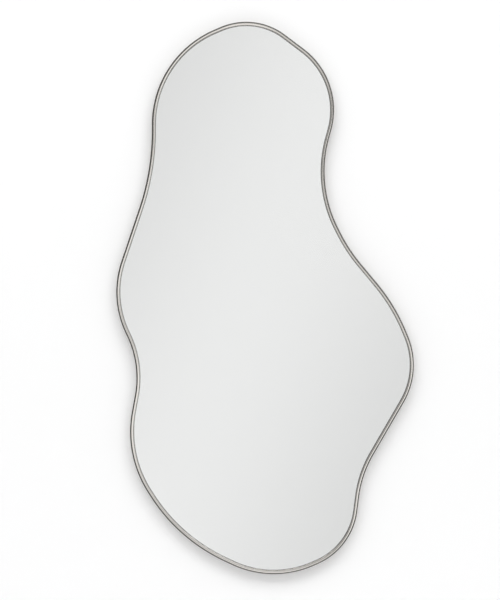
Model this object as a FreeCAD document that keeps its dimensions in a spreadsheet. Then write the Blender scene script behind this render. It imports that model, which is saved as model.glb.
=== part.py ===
# An irregular shaped wall mirror.  A mirror glass sits behind the rounded bead of a slim bent metal frame
# and is taped to a back board.  Angle clips hold the board in the frame, and two D-rings hang it.
# All sizes are in millimetres.  +Z is up, the front faces -Y, and the wall's face is the plane y = 0.
# The origin is on the wall, midway between the hanging points.  Depths are measured from the wall.
import FreeCAD, Part
import math
import os
import re
import Sketcher

BULGE = "bulge"
HOLLOW = "hollow"

# The outline is a belt of round bulges and hollows joined by tangent straight lines.  The list runs
# anticlockwise, as seen from the front, from the crown: name, kind, centre x, centre z, radius.
OUTLINE = [
    ("crown", BULGE, -18, 111, 164),
    ("left_shoulder", BULGE, 4, 15, 261),
    ("left_flank", HOLLOW, -883, 1, 626),
    ("left_belly", BULGE, -104, -409, 243),
    ("left_notch", HOLLOW, -543, -627, 247),
    ("left_hip", BULGE, -27, -763, 285),
    ("left_sweep", BULGE, 115, -688, 445),
    ("foot", BULGE, 52, -876, 248),
    ("right_heel", BULGE, 96, -943, 169),
    ("right_notch", HOLLOW, 549, -964, 283),
    ("right_belly", BULGE, 219, -594, 188),
    ("right_flank", BULGE, -42, -685, 464),
    ("right_dip", HOLLOW, 595, -70, 419),
    ("right_waist", HOLLOW, 498, -104, 317),
    ("right_shoulder", BULGE, 12, 52, 193),
]
NAMES = [row[0] for row in OUTLINE]
KINDS = {row[0]: row[1] for row in OUTLINE}

# Driving sizes: alias, value, meaning.
SIZES = [
    ("bead_radius", 5, "radius of the frame's round front bead"),
    ("bead_depth", 22, "depth of the bead's centre"),
    ("wall_thickness", 1.2, "thickness of the frame's metal"),
    ("frame_rear", 2, "depth of the frame's rear edge"),
    ("lip_depth", 21, "depth of the flat rear face of the bead"),
    ("joiner_gap", 0.1, "clearance round a joiner in the hollow bead"),
    ("joiner_half_angle", 9, "half the angle that a joiner spans"),
    ("gasket_thickness", 0.5, "foam gasket between bead and glass"),
    ("gasket_inner_inset", 9, "gasket's inner edge, in from the outline"),
    ("glass_thickness", 4, "float glass"),
    ("glass_inset", 2.2, "glass edge, in from the outline"),
    ("silver_thickness", 0.2, "silver and paint on the glass"),
    ("film_thickness", 0.2, "splinter film on the paint"),
    ("film_inset", 4, "film edge, in from the outline"),
    ("tape_width", 30, "height of a tape strip"),
    ("board_rear", 6, "depth of the back board's rear face"),
    ("board_thickness", 9, "back board"),
    ("board_inset", 4.5, "board edge, in from the outline"),
    ("pilot_length", 7.6, "depth of a pilot hole in the board"),
    ("seam_plate_thickness", 1.5, "plate across a frame joint"),
    ("seam_plate_front", 14.5, "depth of a seam plate's front edge"),
    ("seam_plate_rear", 3, "depth of a seam plate's rear edge"),
    ("seam_plate_half_angle", 9, "half the angle that a seam plate spans"),
    ("clip_width", 12, "angle clip"),
    ("clip_thickness", 1.5, "metal of an angle clip"),
    ("clip_front", 13, "depth of the clip leg's front end"),
    ("clip_foot", 24, "reach of the clip's foot"),
    ("clip_hole_reach", 15, "from the frame's wall to the clip's hole"),
    ("clip_hole_radius", 2, "clearance hole in a clip"),
    ("clip_outer_bend", 2, "outer bend radius of a clip"),
    ("clip_inner_bend", 0.5, "inner bend radius of a clip"),
    ("screw_radius", 1.75, "screw shank"),
    ("screw_length", 8.5, "screw under its head"),
    ("screw_tip", 2, "length of the screw's cone"),
    ("head_radius", 3.5, "pan head"),
    ("head_height", 2, "pan head"),
    ("head_rim", 0.9, "height of the pan head's straight rim"),
    ("head_flat", 2, "radius of the pan head's flat top"),
    ("recess_half_width", 0.45, "half the width of an arm of the cross recess"),
    ("recess_half_span", 1.9, "half the span of the cross recess"),
    ("recess_depth", 1.1, "depth of the cross recess"),
    ("hanger_half_spacing", 140, "from the middle to each hanging point"),
    ("ring_wire_radius", 1.6, "wire of the D-ring"),
    ("ring_half_width", 11.6, "half the ring's width, on the wire's centre line"),
    ("ring_corner", 3.2, "bend radius of the ring's lower corners"),
    ("ring_bow_height", 6, "from the ring's bar to the centre of its bow"),
    ("strap_bore_gap", 0.08, "clearance round the ring's bar"),
    ("strap_thickness", 1.2, "metal of the hanger strap"),
    ("strap_half_width", 8, "half the width of the strap"),
    ("strap_length", 46, "from the ring's bar to the strap's lower end"),
    ("strap_corner", 5, "corner radius of the strap's lower end"),
    ("strap_curl_end", 70, "angle below level where the strap's curl ends"),
    ("strap_hole_high", 24, "from the ring's bar down to the upper hole"),
    ("strap_hole_low", 38, "from the ring's bar down to the lower hole"),
    ("strap_hole_radius", 2, "clearance hole in a strap"),
    ("bumper_radius", 9, "rubber wall bumper"),
    ("bumper_edge", 2, "rounding of a bumper's rear edge"),
]

# Straight stretches of the outline that carry a clip: node, the round before it, the round after it.
CLIPS = [
    ("clip_right_shoulder", "right_shoulder", "crown"),
    ("clip_left_shoulder", "left_shoulder", "left_flank"),
    ("clip_left_flank", "left_flank", "left_belly"),
    ("clip_left_hip", "left_notch", "left_hip"),
    ("clip_foot", "left_sweep", "foot"),
    ("clip_right_heel", "right_heel", "right_notch"),
    ("clip_right_belly", "right_belly", "right_flank"),
    ("clip_right_waist", "right_waist", "right_shoulder"),
]

# Tape strips: node, centre x, centre z, half length.
TAPES = [
    ("tape_crown", -18, 200, 90),
    ("tape_shoulder", -28, 60, 190),
    ("tape_waist", -50, -150, 180),
    ("tape_belly", -20, -400, 260),
    ("tape_hip", 30, -660, 270),
    ("tape_foot", 15, -930, 210),
]

# Wall bumpers: node, centre x, centre z.
BUMPERS = [
    ("bumper_upper_left", -150, 120),
    ("bumper_upper_right", 110, 120),
    ("bumper_lower_left", -140, -920),
    ("bumper_lower_right", 190, -980),
]

# Two places that lie nearer than this are one.
TOUCH = 0.001

document = FreeCAD.newDocument("irregular_mirror")
sizes = document.addObject("Spreadsheet::Sheet", "Sizes")
aliases = []


def add_size(alias, content, note):
    """Write one row of the sheet and name its value."""
    aliases.append(alias)
    row = len(aliases)
    sizes.set(f"A{row}", alias)
    sizes.set(f"B{row}", str(content))
    sizes.set(f"C{row}", note)
    sizes.setAlias(f"B{row}", alias)


def signed_radius(name):
    """The radius of a round, positive for a bulge and negative for a hollow, as an expression."""
    if KINDS[name] == BULGE:
        return f"{name}_radius"
    return f"(0 - {name}_radius)"


def add_clip_sizes(node, before, after):
    """Find the middle and the heading of the straight line between two rounds of the outline."""
    swell = f"{signed_radius(after)} - {signed_radius(before)}"
    add_size(f"{node}_span_x", f"={after}_x - {before}_x", "between the two centres")
    add_size(f"{node}_span_z", f"={after}_z - {before}_z", "between the two centres")
    add_size(f"{node}_swell", f"={swell}", "difference of the two radii")
    add_size(
        f"{node}_line",
        f"=sqrt({node}_span_x ^ 2 + {node}_span_z ^ 2 - {node}_swell ^ 2)",
        "length of the straight line",
    )
    add_size(
        f"{node}_heading",
        f"=atan2({node}_span_z; {node}_span_x) - atan2({node}_swell; {node}_line)",
        "heading of the straight line",
    )
    add_size(
        f"{node}_x",
        f"={before}_x + ({signed_radius(before)} - wall_thickness) * sin({node}_heading)"
        f" + cos({node}_heading) * {node}_line / 2",
        "clip's place on the frame's inner wall",
    )
    add_size(
        f"{node}_z",
        f"={before}_z - ({signed_radius(before)} - wall_thickness) * cos({node}_heading)"
        f" + sin({node}_heading) * {node}_line / 2",
        "clip's place on the frame's inner wall",
    )
    add_size(f"{node}_screw_x", f"={node}_x - clip_hole_reach * sin({node}_heading)", "clip's screw")
    add_size(f"{node}_screw_z", f"={node}_z + clip_hole_reach * cos({node}_heading)", "clip's screw")


for name, kind, centre_x, centre_z, radius in OUTLINE:
    add_size(f"{name}_x", centre_x, "centre of the round")
    add_size(f"{name}_z", centre_z, "centre of the round")
    add_size(f"{name}_radius", radius, f"{kind} of the outline")
for alias, content, note in SIZES:
    add_size(alias, content, note)
for name, centre_x, centre_z, half_length in TAPES:
    add_size(f"{name}_x", centre_x, "centre of the strip")
    add_size(f"{name}_z", centre_z, "centre of the strip")
    add_size(f"{name}_half_length", half_length, "half the strip's length")
for name, centre_x, centre_z in BUMPERS:
    add_size(f"{name}_x", centre_x, "centre of the bumper")
    add_size(f"{name}_z", centre_z, "centre of the bumper")
add_size("tape_depth", "=board_rear + board_thickness", "depth of the board's front face")
add_size("glass_front", "=lip_depth - gasket_thickness", "depth of the glass's front face")
add_size("glass_rear", "=glass_front - glass_thickness", "depth of the glass's rear face")
add_size("silver_rear", "=glass_rear - silver_thickness", "depth of the paint's rear face")
add_size("film_rear", "=silver_rear - film_thickness", "depth of the film's rear face")
add_size("bead_line_inset", "=bead_radius", "bead's centre line, in from the outline")
add_size("bore_radius", "=ring_wire_radius + strap_bore_gap", "inside of the strap's curl")
add_size("curl_radius", "=bore_radius + strap_thickness", "outside of the strap's curl")
add_size("hinge_depth", "=board_rear - curl_radius", "depth of the ring's bar")
add_size(
    "ring_reach",
    "=ring_bow_height + ring_half_width - ring_wire_radius",
    "from the ring's bar to the inside of its bow",
)
for node, before, after in CLIPS:
    add_clip_sizes(node, before, after)
document.recompute()


def sheet(expression):
    """Turn bare size names of an expression into references to the sheet."""
    return re.sub(r"\w+", lambda word: "Sizes." * (word[0] in aliases) + word[0], expression)


def number(expression):
    """The present value of an expression."""
    return float(sizes.evalExpression(sheet(expression)))


def new_body(name):
    """A body whose label is its node name."""
    body = document.addObject("PartDesign::Body", name)
    body.Label = name
    return body


def new_sketch(body, role, offset):
    """A sketch on one of the body's own origin planes, moved along the plane's normal."""
    plane = [item for item in body.Origin.OriginFeatures if item.Role == role][0]
    sketch = body.newObject("Sketcher::SketchObject", body.Name + "_sketch")
    sketch.AttachmentSupport = [(plane, "")]
    sketch.MapMode = "FlatFace"
    sketch.setExpression("AttachmentOffset.Base.z", sheet(offset))
    return sketch


def hold(sketch, kind, places, expression):
    """Add a driving dimension that follows an expression."""
    index = sketch.addConstraint(Sketcher.Constraint(kind, *places, number(expression)))
    label = f"size_{index}"
    sketch.renameConstraint(index, label)
    sketch.setExpression(f"Constraints.{label}", sheet(expression))


def pin(sketch, geometry, point, across, up):
    """Hold a point at a place in the sketch.  A place on an axis is given as the text 0."""
    if across == "0":
        sketch.addConstraint(Sketcher.Constraint("PointOnObject", geometry, point, -2))
    else:
        hold(sketch, "DistanceX", (-1, 1, geometry, point), across)
    if up == "0":
        sketch.addConstraint(Sketcher.Constraint("PointOnObject", geometry, point, -1))
    else:
        hold(sketch, "DistanceY", (-1, 1, geometry, point), up)


def polygon(sketch, corners):
    """A closed polygon with every corner held by expressions."""
    spots = [FreeCAD.Vector(number(across), number(up), 0) for across, up in corners]
    count = len(corners)
    lines = [Part.LineSegment(spots[i], spots[(i + 1) % count]) for i in range(count)]
    first = sketch.addGeometry(lines, False)[0]
    for i in range(count):
        following = first + (i + 1) % count
        sketch.addConstraint(Sketcher.Constraint("Coincident", first + i, 2, following, 1))
    for i in range(count):
        pin(sketch, first + i, 1, *corners[i])


def circle(sketch, across, up, radius):
    """A circle with its centre and radius held by expressions."""
    centre = FreeCAD.Vector(number(across), number(up), 0)
    shape = Part.Circle(centre, FreeCAD.Vector(0, 0, 1), number(radius))
    index = sketch.addGeometry(shape, False)
    pin(sketch, index, 3, across, up)
    hold(sketch, "Radius", (index,), radius)


def heading(before, after):
    """The heading in degrees of the line between two rounds, walked with the inside on the left."""
    across = number(f"{after}_x") - number(f"{before}_x")
    up = number(f"{after}_z") - number(f"{before}_z")
    swell = number(signed_radius(after)) - number(signed_radius(before))
    line = math.sqrt(across**2 + up**2 - swell**2)
    return math.degrees(math.atan2(up, across) - math.atan2(swell, line))


def round_arc(name, radius, heading_in, heading_out):
    """The arc of one round of the outline between two headings."""
    centre = FreeCAD.Vector(number(f"{name}_x"), number(f"{name}_z"), 0)
    if KINDS[name] == BULGE:
        start, end = heading_in - 90, heading_out - 90
    else:
        start, end = heading_out + 90, heading_in + 90
    end = start + (end - start) % 360
    whole = Part.Circle(centre, FreeCAD.Vector(0, 0, 1), radius)
    return Part.ArcOfCircle(whole, math.radians(start), math.radians(end))


def arc_ends(name):
    """The sketch's numbers for an arc's first and last point, as the outline is walked."""
    return (1, 2) if KINDS[name] == BULGE else (2, 1)


def belt(sketch, names, inset, headings=None):
    """Draw the outline, or a stretch of it, at an inset.  A stretch is given its two end headings."""
    closed = headings is None
    turns = [heading(names[i - 1], names[i]) for i in range(len(names))]
    if not closed:
        turns[0] = headings[0]
    turns.append(turns[0] if closed else headings[1])
    arcs = []
    for i, name in enumerate(names):
        side = "-" if KINDS[name] == BULGE else "+"
        radius = f"{name}_radius {side} {inset}"
        index = sketch.addGeometry(round_arc(name, number(radius), turns[i], turns[i + 1]), False)
        pin(sketch, index, 3, f"{name}_x", f"{name}_z")
        hold(sketch, "Radius", (index,), radius)
        arcs.append(index)
    joints = len(names) if closed else len(names) - 1
    for i in range(joints):
        this, following = arcs[i], arcs[(i + 1) % len(names)]
        leave = arc_ends(names[i])[1]
        enter = arc_ends(names[(i + 1) % len(names)])[0]
        start = sketch.getPoint(this, leave)
        end = sketch.getPoint(following, enter)
        line = sketch.addGeometry(Part.LineSegment(start, end), False)
        sketch.addConstraint(Sketcher.Constraint("Tangent", this, leave, line, 1))
        sketch.addConstraint(Sketcher.Constraint("Tangent", line, 2, following, enter))
    if not closed:
        for arc, point in ((arcs[0], arc_ends(names[0])[0]), (arcs[-1], arc_ends(names[-1])[1])):
            sketch.addConstraint(Sketcher.Constraint("Vertical", arc, point, arc, 3))


def pad(body, sketch, length, reversed_way=False):
    """Pad a sketch along its plane's normal, or the other way."""
    feature = body.newObject("PartDesign::Pad", body.Name + "_pad")
    feature.Profile = sketch
    feature.Reversed = reversed_way
    feature.setExpression("Length", sheet(length))
    sketch.Visibility = False
    return feature


def pocket(body, sketch, length):
    """Cut a sketch along its plane's normal."""
    feature = body.newObject("PartDesign::Pocket", body.Name + "_pocket")
    feature.Profile = sketch
    feature.Reversed = True
    feature.setExpression("Length", sheet(length))
    sketch.Visibility = False
    return feature


def fillet(body, base, chosen, radius):
    """Round the edges of a feature that a test picks."""
    document.recompute()
    names = [f"Edge{i + 1}" for i, edge in enumerate(base.Shape.Edges) if chosen(edge)]
    feature = body.newObject("PartDesign::Fillet", body.Name + "_fillet")
    feature.Base = (base, names)
    feature.setExpression("Radius", sheet(radius))
    return feature


def plate(name, depth, thickness, inset):
    """A flat sheet with the mirror's outline, padded towards the front."""
    body = new_body(name)
    sketch = new_sketch(body, "XZ_Plane", depth)
    belt(sketch, NAMES, inset)
    pad(body, sketch, thickness)
    return body


def frame_section(body):
    """The frame's section at the crown: a hollow half-round bead with a flat wall behind its outer edge."""
    mid = "crown_z + crown_radius - bead_radius"
    sketch = new_sketch(body, "YZ_Plane", "crown_x")
    bead_y = -number("bead_depth")
    bead_z = number(mid)
    bead = number("bead_radius")
    wall = number("wall_thickness")
    lip_y = -number("lip_depth")
    rear_y = -number("frame_rear")
    floor_y = lip_y - wall
    cavity = bead - wall
    reach = math.sqrt(cavity**2 - (floor_y - bead_y) ** 2)
    axis = FreeCAD.Vector(0, 0, 1)
    centre = FreeCAD.Vector(bead_y, bead_z, 0)
    corners = [
        FreeCAD.Vector(bead_y, bead_z - bead, 0),
        FreeCAD.Vector(lip_y, bead_z - bead, 0),
        FreeCAD.Vector(lip_y, bead_z + bead - wall, 0),
        FreeCAD.Vector(rear_y, bead_z + bead - wall, 0),
        FreeCAD.Vector(rear_y, bead_z + bead, 0),
        FreeCAD.Vector(bead_y, bead_z + bead, 0),
    ]
    for i in range(5):
        sketch.addGeometry(Part.LineSegment(corners[i], corners[i + 1]), False)
    bow = sketch.addGeometry(
        Part.ArcOfCircle(Part.Circle(centre, axis, bead), math.radians(90), math.radians(270)), False
    )
    lean = math.atan2(reach, floor_y - bead_y)
    cavity_bow = sketch.addGeometry(
        Part.ArcOfCircle(Part.Circle(centre, axis, cavity), lean, 2 * math.pi - lean), False
    )
    cavity_floor = sketch.addGeometry(
        Part.LineSegment(
            FreeCAD.Vector(floor_y, bead_z - reach, 0), FreeCAD.Vector(floor_y, bead_z + reach, 0)
        ),
        False,
    )
    for i in range(4):
        sketch.addConstraint(Sketcher.Constraint("Coincident", i, 2, i + 1, 1))
    sketch.addConstraint(Sketcher.Constraint("Tangent", bow, 2, 0, 1))
    sketch.addConstraint(Sketcher.Constraint("Tangent", 4, 2, bow, 1))
    for line, kind in ((0, "Horizontal"), (1, "Vertical"), (2, "Horizontal"), (3, "Vertical")):
        sketch.addConstraint(Sketcher.Constraint(kind, line))
    sketch.addConstraint(Sketcher.Constraint("Horizontal", 4))
    pin(sketch, bow, 3, "0 - bead_depth", mid)
    hold(sketch, "Radius", (bow,), "bead_radius")
    hold(sketch, "DistanceX", (-1, 1, 1, 1), "0 - lip_depth")
    hold(sketch, "DistanceX", (-1, 1, 4, 1), "0 - frame_rear")
    hold(sketch, "DistanceY", (3, 1, 3, 2), "wall_thickness")
    sketch.addConstraint(Sketcher.Constraint("Coincident", cavity_bow, 3, bow, 3))
    hold(sketch, "Radius", (cavity_bow,), "bead_radius - wall_thickness")
    sketch.addConstraint(Sketcher.Constraint("Coincident", cavity_bow, 2, cavity_floor, 1))
    sketch.addConstraint(Sketcher.Constraint("Coincident", cavity_floor, 2, cavity_bow, 1))
    sketch.addConstraint(Sketcher.Constraint("Vertical", cavity_floor))
    hold(sketch, "DistanceX", (-1, 1, cavity_floor, 1), "0 - lip_depth - wall_thickness")
    return sketch


def frame_run(name, names, headings):
    """One half of the frame: the section swept along its stretch of the bead's centre line."""
    body = new_body(name)
    section = frame_section(body)
    path = new_sketch(body, "XZ_Plane", "bead_depth")
    belt(path, names, "bead_line_inset", headings)
    sweep = body.newObject("PartDesign::AdditivePipe", name + "_sweep")
    sweep.Profile = section
    sweep.Spine = path
    sweep.Mode = "Standard"
    section.Visibility = False
    path.Visibility = False
    return body


def joiner(name, round_name, top):
    """A half-round bar that fills the hollow bead across a joint, turned about the round's centre."""
    body = new_body(name)
    side = "+" if top else "-"
    mid = f"{round_name}_z {side} ( {round_name}_radius - bead_radius )"
    radius = number("bead_radius - wall_thickness - joiner_gap")
    floor_y = -number("lip_depth + wall_thickness + joiner_gap")
    bead_y = -number("bead_depth")
    mid_z = number(mid)
    reach = math.sqrt(radius**2 - (floor_y - bead_y) ** 2)
    lean = math.atan2(reach, floor_y - bead_y)
    sketch = new_sketch(body, "YZ_Plane", f"{round_name}_x")
    centre = FreeCAD.Vector(bead_y, mid_z, 0)
    whole = Part.Circle(centre, FreeCAD.Vector(0, 0, 1), radius)
    bow = sketch.addGeometry(Part.ArcOfCircle(whole, lean, 2 * math.pi - lean), False)
    low = FreeCAD.Vector(floor_y, mid_z - reach, 0)
    high = FreeCAD.Vector(floor_y, mid_z + reach, 0)
    floor = sketch.addGeometry(Part.LineSegment(low, high), False)
    axis_z = number(f"{round_name}_z")
    axis_ends = [FreeCAD.Vector(bead_y, axis_z, 0), FreeCAD.Vector(0, axis_z, 0)]
    axis = sketch.addGeometry(Part.LineSegment(*axis_ends), True)
    sketch.addConstraint(Sketcher.Constraint("Coincident", bow, 2, floor, 1))
    sketch.addConstraint(Sketcher.Constraint("Coincident", floor, 2, bow, 1))
    sketch.addConstraint(Sketcher.Constraint("Vertical", floor))
    sketch.addConstraint(Sketcher.Constraint("Horizontal", axis))
    sketch.addConstraint(Sketcher.Constraint("PointOnObject", axis, 2, -2))
    pin(sketch, axis, 1, "0 - bead_depth", f"{round_name}_z")
    pin(sketch, bow, 3, "0 - bead_depth", mid)
    hold(sketch, "Radius", (bow,), "bead_radius - wall_thickness - joiner_gap")
    hold(sketch, "DistanceX", (-1, 1, floor, 1), "0 - lip_depth - wall_thickness - joiner_gap")
    turn = body.newObject("PartDesign::Revolution", name + "_turn")
    turn.Profile = sketch
    turn.ReferenceAxis = (sketch, ["Axis0"])
    turn.Midplane = True
    turn.setExpression("Angle", sheet("joiner_half_angle * 2"))
    sketch.Visibility = False
    return body


def seam_plate(name, round_name, top):
    """A strip bent to the frame's inner wall, across a joint."""
    body = new_body(name)
    sketch = new_sketch(body, "XZ_Plane", "seam_plate_rear")
    upright = 90 if top else 270
    half = number("seam_plate_half_angle")
    centre = FreeCAD.Vector(number(f"{round_name}_x"), number(f"{round_name}_z"), 0)
    outer = f"{round_name}_radius - wall_thickness"
    inner = f"{outer} - seam_plate_thickness"
    arcs = []
    for radius in (outer, inner):
        whole = Part.Circle(centre, FreeCAD.Vector(0, 0, 1), number(radius))
        start, end = math.radians(upright - half), math.radians(upright + half)
        arcs.append(sketch.addGeometry(Part.ArcOfCircle(whole, start, end), False))
        hold(sketch, "Radius", (arcs[-1],), radius)
    pin(sketch, arcs[0], 3, f"{round_name}_x", f"{round_name}_z")
    sketch.addConstraint(Sketcher.Constraint("Coincident", arcs[1], 3, arcs[0], 3))
    reach = number(inner) if top else -number(inner)
    tip = centre + FreeCAD.Vector(0, reach, 0)
    upright_line = sketch.addGeometry(Part.LineSegment(centre, tip), True)
    sketch.addConstraint(Sketcher.Constraint("Coincident", upright_line, 1, arcs[0], 3))
    sketch.addConstraint(Sketcher.Constraint("Vertical", upright_line))
    sketch.addConstraint(Sketcher.Constraint("PointOnObject", upright_line, 2, arcs[1]))
    for point in (1, 2):
        ends = [sketch.getPoint(arc, point) for arc in arcs]
        line = sketch.addGeometry(Part.LineSegment(*ends), False)
        sketch.addConstraint(Sketcher.Constraint("Coincident", arcs[0], point, line, 1))
        sketch.addConstraint(Sketcher.Constraint("Coincident", arcs[1], point, line, 2))
        sketch.addConstraint(Sketcher.Constraint("PointOnObject", arcs[0], 3, line))
    sketch.addConstraint(Sketcher.Constraint("Symmetric", arcs[0], 1, arcs[0], 2, upright_line))
    index = sketch.addConstraint(Sketcher.Constraint("Angle", arcs[0], math.radians(2 * half)))
    sketch.renameConstraint(index, "span")
    sketch.setExpression("Constraints.span", sheet("seam_plate_half_angle * 2"))
    pad(body, sketch, "seam_plate_front - seam_plate_rear")
    return body


def gasket():
    """A flat foam ring between the bead's rear face and the glass."""
    body = new_body("glazing_gasket")
    sketch = new_sketch(body, "XZ_Plane", "glass_front")
    belt(sketch, NAMES, "glass_inset")
    belt(sketch, NAMES, "gasket_inner_inset")
    pad(body, sketch, "gasket_thickness")
    return body


def back_board():
    """The board, with a pilot hole for every screw."""
    body = plate("back_board", "board_rear", "board_thickness", "board_inset")
    holes = new_sketch(body, "XZ_Plane", "board_rear")
    for node, before, after in CLIPS:
        circle(holes, f"{node}_screw_x", f"{node}_screw_z", "screw_radius")
    for across in ("0 - hanger_half_spacing", "hanger_half_spacing"):
        for drop in ("strap_hole_high", "strap_hole_low"):
            circle(holes, across, f"0 - ring_reach - {drop}", "screw_radius")
    pocket(body, holes, "pilot_length")
    return body


def tape(name):
    """A strip of double-sided foam tape between the film and the board."""
    body = new_body(name)
    sketch = new_sketch(body, "XZ_Plane", "tape_depth")
    left_x = f"{name}_x - {name}_half_length"
    right_x = f"{name}_x + {name}_half_length"
    low = f"{name}_z - tape_width / 2"
    high = f"{name}_z + tape_width / 2"
    polygon(sketch, [(left_x, low), (right_x, low), (right_x, high), (left_x, high)])
    pad(body, sketch, "film_rear - tape_depth")
    return body


def bumper(name):
    """A round rubber foot with a rounded rear edge."""
    body = new_body(name)
    sketch = new_sketch(body, "XZ_Plane", "board_rear")
    circle(sketch, f"{name}_x", f"{name}_z", "bumper_radius")
    block = pad(body, sketch, "board_rear", True)
    fillet(body, block, lambda edge: edge.BoundBox.YMin > -TOUCH, "bumper_edge")
    return body


def clip(name):
    """An angle clip: a leg on the frame's wall, a foot behind the board, and a hole in the foot."""
    body = new_body(name)
    profile = new_sketch(body, "YZ_Plane", "0 - clip_width / 2")
    front, foot_front, foot_rear = "0 - clip_front", "0 - board_rear", "clip_thickness - board_rear"
    corners = [
        (front, "0"),
        (foot_rear, "0"),
        (foot_rear, "clip_foot"),
        (foot_front, "clip_foot"),
        (foot_front, "clip_thickness"),
        (front, "clip_thickness"),
    ]
    polygon(profile, corners)
    block = pad(body, profile, "clip_width")

    def lies_at(depth, reach):
        """A test for the edge that runs across the clip at a place of its profile."""
        return lambda edge: (
            edge.BoundBox.XLength > TOUCH
            and abs(edge.BoundBox.YMin - number(depth)) < TOUCH
            and abs(edge.BoundBox.ZMin - number(reach)) < TOUCH
        )

    bend = fillet(body, block, lies_at(foot_rear, "0"), "clip_outer_bend")
    fillet(body, bend, lies_at(foot_front, "clip_thickness"), "clip_inner_bend")
    hole = new_sketch(body, "XZ_Plane", "board_rear - clip_thickness")
    circle(hole, "0", "clip_hole_reach", "clip_hole_radius")
    pocket(body, hole, "clip_thickness")
    place = f"placement(vector( {name}_x ; 0 ; {name}_z ); rotation(vector(0; -1; 0); {name}_heading ))"
    body.setExpression("Placement", sheet(place))
    return body


def screw_master():
    """One pan-head screw.  Its head's underside is at y = 0 and its shank runs to -Y."""
    body = new_body("screw_master")
    profile = new_sketch(body, "XY_Plane", "0")
    corners = [
        ("0", "0 - screw_length"),
        ("screw_radius", "screw_tip - screw_length"),
        ("screw_radius", "0"),
        ("head_radius", "0"),
        ("head_radius", "head_rim"),
        ("head_flat", "head_height"),
        ("0", "head_height"),
    ]
    polygon(profile, corners)
    turn = body.newObject("PartDesign::Revolution", "screw_turn")
    turn.Profile = profile
    turn.ReferenceAxis = (profile, ["V_Axis"])
    turn.Angle = 360
    profile.Visibility = False
    recess = new_sketch(body, "XZ_Plane", "0 - head_height")
    wide, slim = "recess_half_span", "recess_half_width"
    quarter = [(wide, slim), (slim, slim), (slim, wide)]
    signs = [(1, 1), (-1, 1), (-1, -1), (1, -1)]
    outline = []
    for i, (across, up) in enumerate(signs):
        corners = quarter if i % 2 == 0 else quarter[::-1]
        for x_name, z_name in corners:
            x_text = x_name if across > 0 else f"0 - {x_name}"
            z_text = z_name if up > 0 else f"0 - {z_name}"
            outline.append((x_text, z_text))
    polygon(recess, outline)
    pocket(body, recess, "recess_depth")
    return body


def screw_group(name, master, places, depth):
    """Copies of the screw at several places, all at one depth."""
    links = []
    for index, (across, up) in enumerate(places):
        link = document.addObject("App::Link", f"{name}_{index + 1}")
        link.LinkedObject = master
        place = f"placement(vector( {across} ; 0 - ( {depth} ) ; {up} ); rotation(vector(0; 1; 0); 0))"
        link.setExpression("Placement", sheet(place))
        links.append(link)
    group = document.addObject("Part::Compound", name)
    group.Label = name
    group.Links = links
    return group


def hanger_strap(name, across):
    """A metal strap: a flat tongue on the board whose upper end curls round the ring's bar."""
    body = new_body(name)
    profile = new_sketch(body, "YZ_Plane", "0 - strap_half_width")
    bore, curl = number("bore_radius"), number("curl_radius")
    low = -number("strap_length")
    end = math.radians(-number("strap_curl_end"))
    axis = FreeCAD.Vector(0, 0, 1)
    origin = FreeCAD.Vector(0, 0, 0)
    tip_in = FreeCAD.Vector(bore * math.cos(end), bore * math.sin(end), 0)
    tip_out = FreeCAD.Vector(curl * math.cos(end), curl * math.sin(end), 0)
    inner = profile.addGeometry(Part.ArcOfCircle(Part.Circle(origin, axis, bore), end, math.pi), False)
    outer = profile.addGeometry(Part.ArcOfCircle(Part.Circle(origin, axis, curl), end, math.pi), False)
    tip = profile.addGeometry(Part.LineSegment(tip_in, tip_out), False)
    front = profile.addGeometry(
        Part.LineSegment(FreeCAD.Vector(-curl, 0, 0), FreeCAD.Vector(-curl, low, 0)), False
    )
    foot = profile.addGeometry(
        Part.LineSegment(FreeCAD.Vector(-curl, low, 0), FreeCAD.Vector(-bore, low, 0)), False
    )
    rear = profile.addGeometry(
        Part.LineSegment(FreeCAD.Vector(-bore, low, 0), FreeCAD.Vector(-bore, 0, 0)), False
    )
    for constraint in (
        ("Coincident", inner, 3, -1, 1),
        ("Coincident", outer, 3, -1, 1),
        ("Coincident", tip, 1, inner, 1),
        ("Coincident", tip, 2, outer, 1),
        ("Tangent", outer, 2, front, 1),
        ("Tangent", rear, 2, inner, 2),
        ("Coincident", front, 2, foot, 1),
        ("Coincident", foot, 2, rear, 1),
        ("Vertical", front),
        ("Vertical", rear),
        ("Horizontal", foot),
        ("PointOnObject", -1, 1, tip),
    ):
        profile.addConstraint(Sketcher.Constraint(*constraint))
    hold(profile, "Radius", (inner,), "bore_radius")
    hold(profile, "Radius", (outer,), "curl_radius")
    hold(profile, "DistanceY", (-1, 1, foot, 1), "0 - strap_length")
    angle = Sketcher.Constraint("Angle", -1, 1, tip, 1, end)
    index = profile.addConstraint(angle)
    profile.renameConstraint(index, "curl_end")
    profile.setExpression("Constraints.curl_end", sheet("0 - strap_curl_end"))
    strip = pad(body, profile, "strap_half_width * 2")
    holes = new_sketch(body, "XZ_Plane", "bore_radius")
    circle(holes, "0", "0 - strap_hole_high", "strap_hole_radius")
    circle(holes, "0", "0 - strap_hole_low", "strap_hole_radius")
    drilled = pocket(body, holes, "strap_thickness")

    def low_corner(edge):
        """A test for the two edges that run through the metal at the lower end."""
        return edge.BoundBox.YLength > TOUCH and edge.BoundBox.ZMax < low + TOUCH

    fillet(body, drilled, low_corner, "strap_corner")
    place = f"placement(vector( {across} ; 0 - hinge_depth ; 0 - ring_reach ); rotation(vector(0; 1; 0); 0))"
    body.setExpression("Placement", sheet(place))
    return body


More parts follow.
